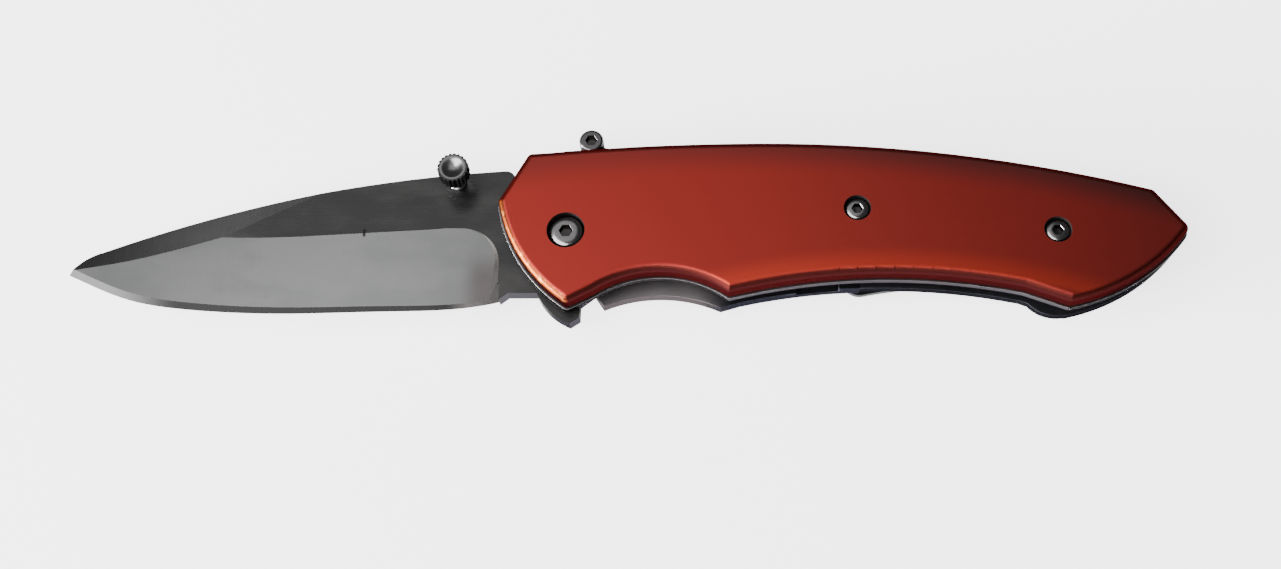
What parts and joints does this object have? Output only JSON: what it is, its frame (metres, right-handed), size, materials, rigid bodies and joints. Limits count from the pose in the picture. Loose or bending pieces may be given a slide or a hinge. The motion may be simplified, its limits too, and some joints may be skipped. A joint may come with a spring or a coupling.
{
  "type": "folding pocket knife",
  "caption": "Folding pocket knife, open: ground blade with swedge, thumb stud and finger guard, red scale, steel liner and lock plate, spine slide and pocket clip.",
  "frame": {"origin": "middle of the bounding box in X and Y, at the lowest point of the pocket clip in Z", "axes": "+X along the knife from the blade tip to the butt, +Y from the cutting edge to the spine, +Z along the pivot axis, out of the red scale"},
  "size_m": [0.184, 0.0348, 0.0143],
  "materials": {
    "red_scale": "red anodised aluminium, satin, bright on the rounded edge",
    "liner_steel": "satin steel sheet with a bright edge",
    "plate_steel": "satin grey steel plate",
    "blade_steel": "dark polished flats, bright ground faces",
    "stud_steel": "turned and knurled steel",
    "screw_steel": "machined socket screw steel",
    "pin_steel": "ground pin steel",
    "washer_bronze": "thin bronze washer",
    "spacer_black": "black moulded spacer",
    "slide_steel": "dark steel slide",
    "clip_black": "black coated spring steel"
  },
  "bodies": {
    "handle": {"front_scale": "red_scale", "front_liner": "liner_steel", "frame_plate": "plate_steel", "pivot_barrel": "screw_steel", "pivot_screw": "screw_steel", "washer_back": "washer_bronze", "washer_front": "washer_bronze", "stop_pin": "pin_steel", "scale_screw_front": "screw_steel", "scale_screw_rear": "screw_steel", "liner_screw_front": "screw_steel", "liner_screw_rear": "screw_steel", "spine_spacer": "spacer_black", "spacer_screw": "screw_steel", "guide_pin_front": "pin_steel", "guide_pin_rear": "pin_steel", "pocket_clip": "clip_black", "clip_screw_front": "screw_steel", "clip_screw_rear": "screw_steel"},
    "blade_body": {"blade": "blade_steel", "thumb_stud": "stud_steel"},
    "lock_leaf": {"lock_bar": "plate_steel", "detent_ball": "pin_steel"},
    "safety_body": {"safety_slide": "slide_steel", "safety_knob": "screw_steel", "safety_nut": "screw_steel"}
  },
  "joints": [
    {"name": "blade_pivot", "type": "hinge", "parent": "handle", "child": "blade_body", "pos_m": [-0.0081, -0.00267, 0.00708], "axis": [0, 0, 1], "range_deg": [0, 180], "deforming": ["lock_bar", "detent_ball"]},
    {"name": "lock_flex", "type": "hinge", "parent": "handle", "child": "lock_leaf", "pos_m": [0.0399, -0.01068, 0.00456], "axis": [0, 1, 0], "range_deg": [-1.35, 0]},
    {"name": "safety_travel", "type": "slide", "parent": "handle", "child": "safety_body", "axis": [1, 0, 0], "range_m": [0, 0.0035]}
  ],
  "couplings": [
    {"joint": "lock_flex", "follows": "blade_pivot", "ratio": -0.00745}
  ]
}
